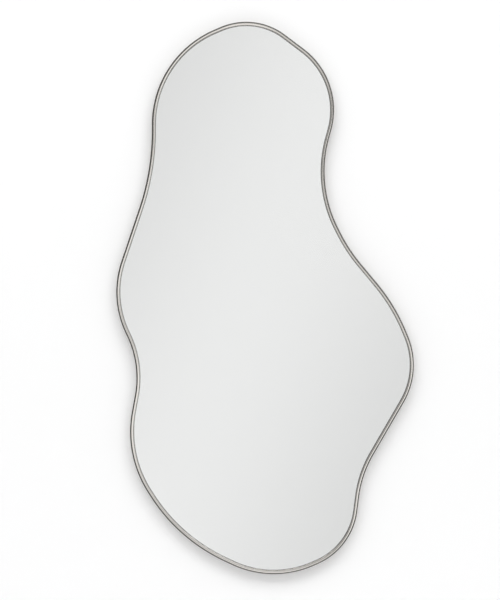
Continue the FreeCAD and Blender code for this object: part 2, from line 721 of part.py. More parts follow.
def hanger_ring(name, across):
    """A D-shaped wire ring: a straight bar through the strap's curl and a round bow above it."""
    body = new_body(name)
    path = new_sketch(body, "XZ_Plane", "0")
    half, corner, bow = number("ring_half_width"), number("ring_corner"), number("ring_bow_height")
    axis = FreeCAD.Vector(0, 0, 1)

    def arc(x, z, radius, start, end):
        """An arc of the wire between two angles in degrees."""
        whole = Part.Circle(FreeCAD.Vector(x, z, 0), axis, radius)
        return Part.ArcOfCircle(whole, math.radians(start), math.radians(end))

    inset = half - corner
    bar = path.addGeometry(Part.LineSegment(FreeCAD.Vector(-inset, 0, 0), FreeCAD.Vector(inset, 0, 0)), False)
    right_corner = path.addGeometry(arc(inset, corner, corner, 270, 360), False)
    right_side = path.addGeometry(
        Part.LineSegment(FreeCAD.Vector(half, corner, 0), FreeCAD.Vector(half, bow, 0)), False
    )
    top = path.addGeometry(arc(0, bow, half, 0, 180), False)
    left_side = path.addGeometry(
        Part.LineSegment(FreeCAD.Vector(-half, bow, 0), FreeCAD.Vector(-half, corner, 0)), False
    )
    left_corner = path.addGeometry(arc(-inset, corner, corner, 180, 270), False)
    loop = (bar, right_corner, right_side, top, left_side, left_corner)
    for this, following in zip(loop, loop[1:] + loop[:1]):
        path.addConstraint(Sketcher.Constraint("Tangent", this, 2, following, 1))
    path.addConstraint(Sketcher.Constraint("Vertical", left_side))
    path.addConstraint(Sketcher.Constraint("Vertical", right_side))
    path.addConstraint(Sketcher.Constraint("PointOnObject", bar, 1, -1))
    path.addConstraint(Sketcher.Constraint("PointOnObject", bar, 2, -1))
    path.addConstraint(Sketcher.Constraint("PointOnObject", top, 3, -2))
    path.addConstraint(Sketcher.Constraint("Equal", left_corner, right_corner))
    hold(path, "Radius", (top,), "ring_half_width")
    hold(path, "Radius", (left_corner,), "ring_corner")
    hold(path, "DistanceY", (-1, 1, top, 3), "ring_bow_height")
    section = new_sketch(body, "YZ_Plane", "0")
    circle(section, "0", "0", "ring_wire_radius")
    sweep = body.newObject("PartDesign::AdditivePipe", name + "_sweep")
    sweep.Profile = section
    sweep.Spine = path
    sweep.Mode = "Standard"
    section.Visibility = False
    path.Visibility = False
    place = f"placement(vector( {across} ; 0 - hinge_depth ; 0 - ring_reach ); rotation(vector(0; 1; 0); 0))"
    body.setExpression("Placement", sheet(place))
    return body


# The frame is two bent runs that meet at the crown's top and at the foot's bottom.
LEFT_WAY = NAMES[: NAMES.index("foot") + 1]
RIGHT_WAY = NAMES[NAMES.index("foot") :] + NAMES[:1]
nodes = [
    frame_run("frame_run_left", LEFT_WAY, (180, 360)),
    frame_run("frame_run_right", RIGHT_WAY, (0, 180)),
    joiner("joint_spigot_top", "crown", True),
    joiner("joint_spigot_bottom", "foot", False),
    seam_plate("seam_plate_top", "crown", True),
    seam_plate("seam_plate_bottom", "foot", False),
    gasket(),
    plate("mirror_glass", "glass_rear", "glass_thickness", "glass_inset"),
    plate("silver_backing", "silver_rear", "silver_thickness", "glass_inset"),
    plate("safety_film", "film_rear", "film_thickness", "film_inset"),
    back_board(),
]
nodes += [tape(row[0]) for row in TAPES]
nodes += [bumper(row[0]) for row in BUMPERS]
nodes += [clip(row[0]) for row in CLIPS]
master = screw_master()
clip_spots = [(f"{row[0]}_screw_x", f"{row[0]}_screw_z") for row in CLIPS]
nodes.append(screw_group("clip_screws", master, clip_spots, "board_rear - clip_thickness"))
hanger_spots = [
    (across, f"0 - ring_reach - {drop}")
    for across in ("0 - hanger_half_spacing", "hanger_half_spacing")
    for drop in ("strap_hole_high", "strap_hole_low")
]
nodes.append(screw_group("hanger_screws", master, hanger_spots, "board_rear - strap_thickness"))
for side, across in (("left", "0 - hanger_half_spacing"), ("right", "hanger_half_spacing")):
    nodes.append(hanger_strap(f"hanger_strap_{side}", across))
    nodes.append(hanger_ring(f"hanger_ring_{side}", across))
document.recompute()

for item in document.Objects:
    broken = [word for word in item.State if word in ("Invalid", "Error")]
    if broken:
        raise RuntimeError(f"{item.Name} is {broken}: {item.getStatusString()}")
    if item.TypeId == "Sketcher::SketchObject" and not item.FullyConstrained:
        raise RuntimeError(f"{item.Name} is not fully constrained")
os.makedirs("parts", exist_ok=True)
for node in nodes:
    if node.Shape.isNull() or not node.Shape.isValid():
        raise RuntimeError(f"{node.Label} has no valid shape")
    node.Shape.exportStep(f"parts/{node.Label}.step")
    box = node.Shape.optimalBoundingBox()
    spans = [round(value, 2) for value in (box.XMin, box.XMax, box.YMin, box.YMax, box.ZMin, box.ZMax)]
    print(node.Label, len(node.Shape.Solids), round(node.Shape.Volume, 1), spans)
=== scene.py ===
"""An irregular shaped wall mirror in a slim bent metal frame: finishes, visible pieces and a studio."""

import logging
import math
from dataclasses import dataclass
from enum import Enum
from typing import Any, Iterable, Mapping, Sequence, Union

import bpy
import numpy as np
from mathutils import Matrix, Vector


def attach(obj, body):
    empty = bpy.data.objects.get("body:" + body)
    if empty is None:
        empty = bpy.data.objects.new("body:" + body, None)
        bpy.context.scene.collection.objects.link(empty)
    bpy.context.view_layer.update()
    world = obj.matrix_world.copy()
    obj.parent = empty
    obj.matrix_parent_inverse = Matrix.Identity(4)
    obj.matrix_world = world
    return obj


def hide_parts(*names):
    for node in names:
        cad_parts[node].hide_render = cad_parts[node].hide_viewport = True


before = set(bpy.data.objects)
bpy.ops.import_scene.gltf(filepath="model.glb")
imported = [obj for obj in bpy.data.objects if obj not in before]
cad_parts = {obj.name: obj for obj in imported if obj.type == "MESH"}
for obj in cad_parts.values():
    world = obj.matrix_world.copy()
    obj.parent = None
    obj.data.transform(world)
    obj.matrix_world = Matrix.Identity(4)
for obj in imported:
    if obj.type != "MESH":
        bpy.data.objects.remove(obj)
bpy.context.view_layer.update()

LOG = logging.getLogger("mirror")
MM = 0.001
SHARP_ANGLE = math.radians(32.0)
WHITE = (1.0, 1.0, 1.0, 1.0)

Triple = tuple[float, float, float]
Colour = Triple
Span = tuple[float, float]
Value = Union["Term", float]
Paint = Union["Term", Colour]


# --------------------------------------------------------------------------------------------------------
# Shader graphs
# --------------------------------------------------------------------------------------------------------


class CellValue(Enum):
    """What cell noise gives: the distance to the nearest seed, or the cell's own random colour."""

    DISTANCE = "Distance"
    COLOUR = "Color"


class Ray(Enum):
    """Kinds of light path, as the Light Path node names them."""

    CAMERA = "Is Camera Ray"
    GLOSSY = "Is Glossy Ray"
    TRANSMISSION = "Is Transmission Ray"


@dataclass(frozen=True)
class Grain:
    """Cloudy noise: features per metre along the three axes, finer layers and how strong they are."""

    per_metre: Triple
    layers: float
    finer: float = 0.5


@dataclass(frozen=True)
class Relief:
    """Bump: the depth in metres that a height of 1 stands for, and how much of it is used."""

    depth: float
    strength: float


def even(size: float) -> Triple:
    """The same size along all three axes."""
    return (size, size, size)


def shaded(colour: Colour, share: float) -> Colour:
    """A colour at a share of its strength."""
    return tuple(channel * share for channel in colour)


class Term:
    """A shader socket that takes part in Python sums, and adds the Math nodes that they need."""

    def __init__(self, graph: "Graph", socket: bpy.types.NodeSocket | None) -> None:
        """Keep the graph and the output socket, which an output node doesn't have."""
        self.graph = graph
        self.socket = socket

    def _math(self, operation: str, first: Value, second: Value | None = None) -> "Term":
        """Add one Math node.

        Args:
            operation: The node's operation.
            first: A term or a number.
            second: A term or a number, or None where the operation takes one value.

        Returns:
            The node's result.
        """
        values = {0: first} if second is None else {0: first, 1: second}
        return self.graph.node("ShaderNodeMath", {"operation": operation}, values)

    def __add__(self, other: Value) -> "Term":
        """Add."""
        return self._math("ADD", self, other)

    def __radd__(self, other: Value) -> "Term":
        """Add, from the right."""
        return self._math("ADD", other, self)

    def __sub__(self, other: Value) -> "Term":
        """Take away."""
        return self._math("SUBTRACT", self, other)

    def __rsub__(self, other: Value) -> "Term":
        """Take away, from the right."""
        return self._math("SUBTRACT", other, self)

    def __mul__(self, other: Value) -> "Term":
        """Multiply."""
        return self._math("MULTIPLY", self, other)

    def __rmul__(self, other: Value) -> "Term":
        """Multiply, from the right."""
        return self._math("MULTIPLY", other, self)

    def __truediv__(self, other: Value) -> "Term":
        """Divide."""
        return self._math("DIVIDE", self, other)

    def __rtruediv__(self, other: Value) -> "Term":
        """Divide, from the right."""
        return self._math("DIVIDE", other, self)

    def __neg__(self) -> "Term":
        """The value with its sign turned."""
        return 0.0 - self

    def __abs__(self) -> "Term":
        """The size without its sign."""
        return self._math("ABSOLUTE", self)

    def exp(self) -> "Term":
        """The exponential."""
        return self._math("EXPONENT", self)

    def sine(self) -> "Term":
        """The sine of an angle in radians."""
        return self._math("SINE", self)

    def most(self, other: Value) -> "Term":
        """The larger of two values."""
        return self._math("MAXIMUM", self, other)

    def towards(self, other: Value, share: Value) -> "Term":
        """This value where a share is 0, and another where it is 1."""
        return self + (other - self) * share

    def rise(self, low: float, high: float) -> "Term":
        """A smooth step.

        Args:
            low: The value at which the step starts from 0.
            high: The value at which the step reaches 1.

        Returns:
            0 below low, 1 above high, and a smooth curve between them.
        """
        settings = {"interpolation_type": "SMOOTHSTEP"}
        values = {"Value": self, "From Min": low, "From Max": high, "To Min": 0.0, "To Max": 1.0}
        return self.graph.node("ShaderNodeMapRange", settings, values)


class Graph:
    """A node tree that is filled by one method."""

    MIX_COLOURS = (6, 7)
    MIX_RESULT = 2

    def __init__(self, tree: bpy.types.NodeTree) -> None:
        """Empty the tree and keep it."""
        tree.nodes.clear()
        self.tree = tree

    def node(
        self,
        kind: str,
        settings: Mapping[str, Any] | None = None,
        values: Mapping[str | int, Any] | None = None,
        output: str | int = 0,
    ) -> Term:
        """Add a node, set it up and feed it.

        Args:
            kind: The node's type.
            settings: Properties that are set first.
            values: Input names or numbers, each with a term to link or a plain value to set.
            output: The name or number of the output to return.

        Returns:
            The chosen output as a term.
        """
        made = self.tree.nodes.new(kind)
        for key, setting in (settings or {}).items():
            setattr(made, key, setting)
        for key, value in (values or {}).items():
            target = made.inputs[key]
            if isinstance(value, Term):
                self.tree.links.new(value.socket, target)
            else:
                target.default_value = value
        return Term(self, made.outputs[output] if made.outputs else None)

    def place(self) -> Term:
        """The point in the object's own metres."""
        return self.node("ShaderNodeTexCoord", output="Object")

    def uv(self) -> Term:
        """The point on the piece's own map, in metres."""
        return self.node("ShaderNodeUVMap", {"uv_map": "surface"})

    def axes(self, point: Term) -> tuple[Term, Term, Term]:
        """The three parts of a point."""
        first = self.node("ShaderNodeSeparateXYZ", None, {0: point})
        return tuple(Term(self, output) for output in first.socket.node.outputs)

    def scaled(self, point: Term, scale: Triple) -> Term:
        """A point scaled along its three axes."""
        return self.node("ShaderNodeMapping", None, {"Vector": point, "Scale": scale})

    def noise(self, point: Term, grain: Grain) -> Term:
        """Cloudy noise.

        Args:
            point: Where it is read, in metres.
            grain: Its features and layers.

        Returns:
            The noise, about 0 to 1.
        """
        spot = self.scaled(point, grain.per_metre)
        values = {"Vector": spot, "Scale": 1.0, "Detail": grain.layers, "Roughness": grain.finer}
        return self.node("ShaderNodeTexNoise", None, values, "Fac")

    def cells(self, point: Term, per_metre: Triple, value: CellValue = CellValue.DISTANCE) -> Term:
        """Cell noise, with so many cells per metre along the three axes."""
        spot = self.scaled(point, per_metre)
        return self.node("ShaderNodeTexVoronoi", None, {"Vector": spot, "Scale": 1.0}, value.value)

    def blend(self, share: Value, first: Paint, second: Paint) -> Term:
        """A colour between two colours.

        Args:
            share: 0 for the first and 1 for the second.
            first: A colour term or a plain colour.
            second: A colour term or a plain colour.

        Returns:
            The mixed colour.
        """
        values = {0: share}
        for socket, paint in zip(self.MIX_COLOURS, (first, second)):
            values[socket] = paint if isinstance(paint, Term) else (*paint, 1.0)
        return self.node("ShaderNodeMix", {"data_type": "RGBA"}, values, self.MIX_RESULT)

    def mottled(self, share: Value, colour: Colour, low: float) -> Term:
        """A colour at a low strength where a share is 0, and at full strength where it is 1."""
        return self.blend(share, shaded(colour, low), colour)

    def ray(self, kind: Ray) -> Term:
        """1 where the light path is of a kind, else 0."""
        return self.node("ShaderNodeLightPath", output=kind.value)

    def reflected(self) -> Term:
        """1 where the light path comes from gloss or glass, else 0."""
        return self.ray(Ray.GLOSSY).most(self.ray(Ray.TRANSMISSION))

    def bump(self, height: Term, relief: Relief) -> Term:
        """A normal bent by a height of about 0 to 1."""
        values = {"Height": height, "Distance": relief.depth, "Strength": relief.strength}
        return self.node("ShaderNodeBump", None, values, "Normal")

    def surface(self, **values: Value | Paint) -> Term:
        """The main shader.

        Args:
            values: Its inputs, with an underscore in a socket's name for each space.

        Returns:
            The shader.
        """
        named = {}
        for key, value in values.items():
            words = key.replace("_", " ")
            named[words] = (*value, 1.0) if isinstance(value, tuple) else value
        return self.node("ShaderNodeBsdfPrincipled", None, named)

    def sky(self, strength: Value) -> Term:
        """White light from the world."""
        return self.node("ShaderNodeBackground", None, {"Color": WHITE, "Strength": strength})

    def either(self, share: Value, first: Term, second: Term) -> Term:
        """One shader where a share is 0, and another where it is 1."""
        return self.node("ShaderNodeMixShader", None, {0: share, 1: first, 2: second})

    def finish(self, shader: Term, kind: str = "ShaderNodeOutputMaterial") -> None:
        """Send a shader to the tree's output."""
        self.node(kind, None, {"Surface": shader})


# --------------------------------------------------------------------------------------------------------
# Finishes
# --------------------------------------------------------------------------------------------------------


@dataclass(frozen=True)
class Finish:
    """A material of the object, made once and shared."""

    name: str

    def shade(self, graph: Graph) -> Term:
        """Build the shader.

        Args:
            graph: The empty tree of the material.

        Returns:
            The finished shader.
        """
        raise NotImplementedError

    def material(self) -> bpy.types.Material:
        """Make the material on the first call.

        Returns:
            The material.
        """
        found = bpy.data.materials.get(self.name)
        if found is not None:
            return found
        made = bpy.data.materials.new(self.name)
        made.use_nodes = True
        graph = Graph(made.node_tree)
        graph.finish(self.shade(graph))
        return made


@dataclass(frozen=True)
class BrushedMetal(Finish):
    """Metal brushed along its length, with painted reflections: a painted highlight along the crown,
    painted shade on the inner flank and deep painted shade on the outer shoulder.

    The flat outer side behind the shoulder is satin.  The piece's map runs in metres, along the length
    first and round the section second, from the outer side to the inner.  The crown is given by its
    distance round the section, and a turn is an angle on the bead from there, in radians.  Each low is
    the strength that a colour sinks to between the bright lines.
    """

    # Painted highlight: the crown is painted far brighter than the bare metal, for a bright reflection.
    crown_painted_highlight: Colour = (0.92, 0.893, 0.845)
    # Painted shade: the inner flank is painted darker, for a dim reflection beside the crown.
    inner_flank_painted_shade: Colour = (0.43, 0.413, 0.388)
    # Painted shade: the outer shoulder is painted near black, for the shade that a dark room would reflect
    # there.
    shoulder_painted_shade: Colour = (0.165, 0.157, 0.148)
    side_colour: Colour = (0.50, 0.485, 0.46)
    crown_low: float = 0.9
    flank_low: float = 0.85
    side_low: float = 0.88
    crown: float = 0.02796
    bead: float = 0.005
    inner_turn: Span = (0.6, 0.95)
    shoulder_turn: Span = (0.2, 0.42)
    side_turn: Span = (0.95, 1.4)
    fine: Grain = Grain((14.0, 5200.0, 1.0), 3.0, 0.6)
    broad: Grain = Grain((5.0, 1100.0, 1.0), 2.0)
    clouds: Grain = Grain(even(9.0), 2.0)
    fine_share: float = 0.65
    broad_share: float = 0.35
    line_rise: Span = (0.3, 0.7)
    roughness: float = 0.1
    line_roughness: float = 0.09
    cloud_roughness: float = 0.03
    flank_roughness: float = 0.1
    relief: Relief = Relief(0.00002, 0.5)

    def shade(self, graph: Graph) -> Term:
        """Lines are noise drawn out along the length; the flanks start where the bead turns away.

        Args:
            graph: The empty tree of the material.

        Returns:
            The finished shader.
        """
        spot = graph.uv()
        turn = (graph.axes(spot)[1] - self.crown) / self.bead
        inner = turn.rise(*self.inner_turn)
        outer = (-turn).rise(*self.shoulder_turn)
        back = (-turn).rise(*self.side_turn)
        lines = graph.noise(spot, self.fine) * self.fine_share
        lines = lines + graph.noise(spot, self.broad) * self.broad_share
        clouds = graph.noise(graph.place(), self.clouds)
        grain = lines.rise(*self.line_rise)
        # The crown, inner flank and shoulder colours are painted highlight and painted shade, set by place
        # round the section.
        crown = graph.mottled(grain, self.crown_painted_highlight, self.crown_low)
        flank = graph.mottled(grain, self.inner_flank_painted_shade, self.flank_low)
        shoulder = graph.mottled(grain, self.shoulder_painted_shade, self.flank_low)
        side = graph.mottled(grain, self.side_colour, self.side_low)
        front = graph.blend(inner, crown, flank)
        roughness = self.roughness + lines * self.line_roughness + clouds * self.cloud_roughness
        return graph.surface(
            # The outer shoulder takes its painted shade here, and the satin side behind it keeps its own
            # tone.
            Base_Color=graph.blend(outer, front, graph.blend(back, shoulder, side)),
            Metallic=1.0,
            Roughness=roughness + (inner + outer) * self.flank_roughness,
            Normal=graph.bump(lines, self.relief),
        )


@dataclass(frozen=True)
class ClearGlass(Finish):
    """Polished float glass, clear, with a trace of green."""

    colour: Colour = (0.992, 0.996, 0.993)
    refraction: float = 1.5
    wave: Grain = Grain(even(3.0), 1.0)
    relief: Relief = Relief(0.00002, 0.1)

    def shade(self, graph: Graph) -> Term:
        """Clear glass whose faces are as good as flat.

        Args:
            graph: The empty tree of the material.

        Returns:
            The finished shader.
        """
        return graph.surface(
            Base_Color=self.colour,
            Transmission_Weight=1.0,
            IOR=self.refraction,
            Roughness=0.0,
            Normal=graph.bump(graph.noise(graph.place(), self.wave), self.relief),
        )


@dataclass(frozen=True)
class MirrorSilver(Finish):
    """The silver coat behind the glass."""

    colour: Colour = (0.965, 0.962, 0.963)
    clouds: Grain = Grain(even(5.0), 2.0)
    cloud_rise: Span = (0.4, 0.8)
    roughness: float = 0.004
    cloud_roughness: float = 0.006

    def shade(self, graph: Graph) -> Term:
        """Bright silver with a trace of cloudiness in its gloss.

        Args:
            graph: The empty tree of the material.

        Returns:
            The finished shader.
        """
        clouds = graph.noise(graph.place(), self.clouds).rise(*self.cloud_rise)
        return graph.surface(
            Base_Color=self.colour,
            Metallic=1.0,
            Roughness=self.roughness + clouds * self.cloud_roughness,
        )


@dataclass(frozen=True)
class FibreBoard(Finish):
    """Raw pressed fibre board: fine pale and dark fibres in a warm brown."""

    dark: Colour = (0.38, 0.27, 0.165)
    pale: Colour = (0.60, 0.455, 0.295)
    upright: Grain = Grain((900.0, 900.0, 160.0), 3.0, 0.6)
    level: Grain = Grain((160.0, 900.0, 900.0), 3.0, 0.6)
    clouds: Grain = Grain(even(7.0), 3.0)
    chips_per_metre: Triple = (260.0, 260.0, 420.0)
    chip_edge: Span = (0.03, 0.16)
    fibre_share: float = 0.75
    cloud_share: float = 0.35
    chip_share: float = 0.25
    tone_rise: Span = (0.35, 0.85)
    roughness: float = 0.82
    fibre_roughness: float = 0.12
    relief: Relief = Relief(0.00015, 0.35)

    def shade(self, graph: Graph) -> Term:
        """Short fibres in two directions over slow clouds and a few dark chips.

        Args:
            graph: The empty tree of the material.

        Returns:
            The finished shader.
        """
        spot = graph.place()
        fibres = graph.noise(spot, self.upright).most(graph.noise(spot, self.level))
        clouds = graph.noise(spot, self.clouds)
        chips = 1.0 - graph.cells(spot, self.chips_per_metre).rise(*self.chip_edge)
        tone = fibres * self.fibre_share + clouds * self.cloud_share - chips * self.chip_share
        return graph.surface(
            Base_Color=graph.blend(tone.rise(*self.tone_rise), self.dark, self.pale),
            Roughness=self.roughness + fibres * self.fibre_roughness,
            Normal=graph.bump(fibres, self.relief),
        )


@dataclass(frozen=True)
class ZincPlate(Finish):
    """Zinc-plated steel or bare aluminium: bright and slightly mottled."""

    colour: Colour = (0.63, 0.645, 0.655)
    roughness: float = 0.25
    patches_per_metre: Triple = even(420.0)
    scratches: Grain = Grain((500.0, 500.0, 6000.0), 2.0)
    patch_share: float = 0.6
    scratch_share: float = 0.4
    low: float = 0.82
    patch_roughness: float = 0.07
    scratch_roughness: float = 0.06
    relief: Relief = Relief(0.00001, 0.4)

    def shade(self, graph: Graph) -> Term:
        """Small patches of gloss over fine rolling scratches.

        Args:
            graph: The empty tree of the material.

        Returns:
            The finished shader.
        """
        spot = graph.place()
        cells = graph.cells(spot, self.patches_per_metre, CellValue.COLOUR)
        patch = graph.node("ShaderNodeSeparateColor", None, {0: cells})
        scratches = graph.noise(spot, self.scratches)
        tone = patch * self.patch_share + scratches * self.scratch_share
        roughness = self.roughness + patch * self.patch_roughness + scratches * self.scratch_roughness
        return graph.surface(
            Base_Color=graph.mottled(tone, self.colour, self.low),
            Metallic=1.0,
            Roughness=roughness,
            Normal=graph.bump(scratches, self.relief),
        )


@dataclass(frozen=True)
class MattRubber(Finish):
    """Matt black moulded rubber with a fine grain and a trace of dust."""

    colour: Colour = (0.022, 0.022, 0.023)
    dust_colour: Colour = (0.09, 0.087, 0.08)
    grain: Grain = Grain(even(1500.0), 3.0)
    dust: Grain = Grain(even(60.0), 3.0)
    dust_rise: Span = (0.5, 0.8)
    dust_share: float = 0.4
    roughness: float = 0.6
    grain_roughness: float = 0.2
    relief: Relief = Relief(0.0001, 0.4)

    def shade(self, graph: Graph) -> Term:
        """Fine grain under clouds of pale dust.

        Args:
            graph: The empty tree of the material.

        Returns:
            The finished shader.
        """
        spot = graph.place()
        grain = graph.noise(spot, self.grain)
        dust = graph.noise(spot, self.dust).rise(*self.dust_rise)
        return graph.surface(
            Base_Color=graph.blend(dust * self.dust_share, self.colour, self.dust_colour),
            Roughness=self.roughness + grain * self.grain_roughness,
            Normal=graph.bump(grain, self.relief),
        )


@dataclass(frozen=True)
class Foam(Finish):
    """Closed-cell foam, as on tape and gasket."""

    colour: Colour = (0.8, 0.79, 0.75)
    cells_per_metre: Triple = even(2200.0)
    wall_rise: Span = (0.1, 0.6)
    wall_low: float = 0.7
    roughness: float = 0.75
    cell_roughness: float = 0.2
    relief: Relief = Relief(0.0002, 0.6)

    def shade(self, graph: Graph) -> Term:
        """Small round cells with darker walls.

        Args:
            graph: The empty tree of the material.

        Returns:
            The finished shader.
        """
        cell = graph.cells(graph.place(), self.cells_per_metre)
        wall_colour = shaded(self.colour, self.wall_low)
        return graph.surface(
            Base_Color=graph.blend(cell.rise(*self.wall_rise), self.colour, wall_colour),
            Roughness=self.roughness + cell * self.cell_roughness,
            Normal=graph.bump(cell, self.relief),
        )


@dataclass(frozen=True)
class WovenFilm(Finish):
    """Splinter film: a thin woven plastic cloth, laminated."""

    colour: Colour = (0.74, 0.76, 0.78)
    threads_per_metre: float = 450.0
    thread_rise: Span = (-0.2, 0.9)
    low: float = 0.75
    roughness: float = 0.45
    thread_roughness: float = 0.06
    relief: Relief = Relief(0.0001, 0.5)

    def shade(self, graph: Graph) -> Term:
        """A plain weave: the higher of two rows of sine waves that cross.

        Args:
            graph: The empty tree of the material.

        Returns:
            The finished shader.
        """
        turns = self.threads_per_metre * math.tau
        across, _, height = graph.axes(graph.place())
        weave = (across * turns).sine().most((height * turns).sine())
        return graph.surface(
            Base_Color=graph.mottled(weave.rise(*self.thread_rise), self.colour, self.low),
            Roughness=self.roughness + weave * self.thread_roughness,
            Normal=graph.bump(weave, self.relief),
        )


NICKEL = BrushedMetal("brushed_nickel_frame")
JOINER_METAL = ZincPlate("joiner_aluminium", colour=(0.74, 0.74, 0.75), roughness=0.3)
BRACKET = ZincPlate("bracket_zinc")
HANGER = ZincPlate("hanger_zinc", colour=(0.68, 0.68, 0.675), roughness=0.19)
SCREW = ZincPlate("screw_zinc", colour=(0.70, 0.70, 0.69), roughness=0.15)
GLASS = ClearGlass("clear_float_glass")
SILVER = MirrorSilver("mirror_silver")
BOARD = FibreBoard("fibre_board")
RUBBER = MattRubber("bumper_rubber")
GASKET = Foam("gasket_foam", colour=(0.05, 0.05, 0.052))
TAPE = Foam("tape_foam")
FILM = WovenFilm("splinter_film")


# --------------------------------------------------------------------------------------------------------
# The outline and surfaces carried along it
# --------------------------------------------------------------------------------------------------------


def distance_along(points: np.ndarray) -> np.ndarray:
    """The distance of each point from the first, added up over the steps between them."""
    steps = np.hypot(*np.diff(points, axis=0).T)
    return np.concatenate([[0.0], np.cumsum(steps)])


class Bend(Enum):
    """Which way a round of the outline bends, as a sign for its radius."""

    BULGE = 1.0
    HOLLOW = -1.0


@dataclass(frozen=True)
class Round:
    """One round of the outline, in millimetres, seen from the front."""

    name: str
    bend: Bend
    x: float
    z: float
    radius: float

    @property
    def signed(self) -> float:
        """The radius, below zero in a hollow."""
        return self.bend.value * self.radius


@dataclass(frozen=True)
class Stop:
    """A place on the outline: the round that it lies on and the heading there, in degrees."""

    round: str
    heading: float


@dataclass
class Way:
    """A walked stretch of the outline: places in metres and headings in radians."""

    spots: np.ndarray
    headings: np.ndarray

    def onward(self) -> np.ndarray:
        """The unit directions along the outline."""
        return np.stack([np.cos(self.headings), np.sin(self.headings)], axis=-1)

    def inward(self) -> np.ndarray:
        """The unit directions towards the mirror's inside, which lies on the left."""
        return np.stack([-np.sin(self.headings), np.cos(self.headings)], axis=-1)


@dataclass(frozen=True)
class Outline:
    """A belt of rounds joined by tangent straight lines, listed anticlockwise from the crown."""

    rounds: tuple[Round, ...]
    step: float = 2.5
    least_steps: int = 3

    def heading(self, index: int) -> float:
        """The heading of the line from a round to the next one.

        With the centres' distance d apart at angle a, and signed radii r and s, the common tangent
        runs at a less the angle whose sine is (s - r) / d.

        Args:
            index: The round that the line leaves.

        Returns:
            The heading in radians.
        """
        here = self.rounds[index % len(self.rounds)]
        after = self.rounds[(index + 1) % len(self.rounds)]
        across, up = after.x - here.x, after.z - here.z
        swell = after.signed - here.signed
        return math.atan2(up, across) - math.asin(swell / math.hypot(across, up))

    def walk(self, start: Stop, end: Stop) -> Way:
        """Walk from one place to a later one.

        On a round, a heading h is met at centre + r (sin h, -cos h), where r is the signed radius.

        Args:
            start: The place where the walk starts.
            end: The place where it ends.

        Returns:
            The walked stretch.
        """
        names = [one.name for one in self.rounds]
        first, last = names.index(start.round), names.index(end.round)
        last += len(names) if last <= first else 0
        spots, headings = [], []
        turn = math.radians(start.heading)
        for index in range(first, last + 1):
            one = self.rounds[index % len(names)]
            leave = math.radians(end.heading) if index == last else self.heading(index)
            swing = (leave - turn + math.pi) % math.tau - math.pi
            count = max(self.least_steps, math.ceil(abs(swing) * one.radius / self.step))
            arc = turn + np.linspace(0.0, swing, count + 1)
            across, up = one.x + one.signed * np.sin(arc), one.z - one.signed * np.cos(arc)
            spots.append(np.stack([across, up], axis=-1))
            headings.append(arc)
            turn += swing
        return Way(np.concatenate(spots) * MM, np.concatenate(headings))


OUTLINE = Outline(
    (
        Round("crown", Bend.BULGE, -18, 111, 164),
        Round("left_shoulder", Bend.BULGE, 4, 15, 261),
        Round("left_flank", Bend.HOLLOW, -883, 1, 626),
        Round("left_belly", Bend.BULGE, -104, -409, 243),
        Round("left_notch", Bend.HOLLOW, -543, -627, 247),
        Round("left_hip", Bend.BULGE, -27, -763, 285),
        Round("left_sweep", Bend.BULGE, 115, -688, 445),
        Round("foot", Bend.BULGE, 52, -876, 248),
        Round("right_heel", Bend.BULGE, 96, -943, 169),
        Round("right_notch", Bend.HOLLOW, 549, -964, 283),
        Round("right_belly", Bend.BULGE, 219, -594, 188),
        Round("right_flank", Bend.BULGE, -42, -685, 464),
        Round("right_dip", Bend.HOLLOW, 595, -70, 419),
        Round("right_waist", Bend.HOLLOW, 498, -104, 317),
        Round("right_shoulder", Bend.BULGE, 12, 52, 193),
    )
)
CROWN_TOP = Stop("crown", 180.0)
FOOT_BOTTOM = Stop("foot", 0.0)


def tube_faces(rings: int, sides: int) -> np.ndarray:
    """The faces of a tube of closed rings, which face outwards.

    The face at ring i and side j has the corners (i, j), (i + 1, j), (i + 1, j + 1) and (i, j + 1),
    where the corner after a ring's last is its first.

    Args:
        rings: The number of rings.
        sides: The number of corners on each.

    Returns:
        One row of four corner numbers for each face, a corner's number being ring x sides + side.
    """
    ring, side = np.meshgrid(np.arange(rings - 1), np.arange(sides), indexing="ij")
    after = (side + 1) % sides
    near, far = ring * sides, (ring + 1) * sides
    return np.stack([near + side, far + side, far + after, near + after], axis=-1).reshape(-1, 4)


def mesh_piece(
    name: str, points: np.ndarray, faces: Iterable[Sequence[int]], finish: Finish, node: str
) -> bpy.types.Object:
    """Make a finished piece that stands for a CAD node and rides on the mirror.

    Args:
        name: The piece's name.
        points: Its corners, in metres.
        faces: Its faces as corner numbers, pointing outwards.
        finish: Its finish.
        node: The CAD node that it stands for.

    Returns:
        The new object.
    """
    mesh = bpy.data.meshes.new(name)
    mesh.from_pydata(points.reshape(-1, 3).tolist(), [], list(faces))
    mesh.validate()
    mesh.materials.append(finish.material())
    mesh.shade_smooth()
    mesh.set_sharp_from_angle(angle=SHARP_ANGLE)
    made = bpy.data.objects.new(name, mesh)
    bpy.context.scene.collection.objects.link(made)
    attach(made, "mirror")
    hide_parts(node)
    LOG.info("%s: %d faces", name, len(mesh.polygons))
    return made


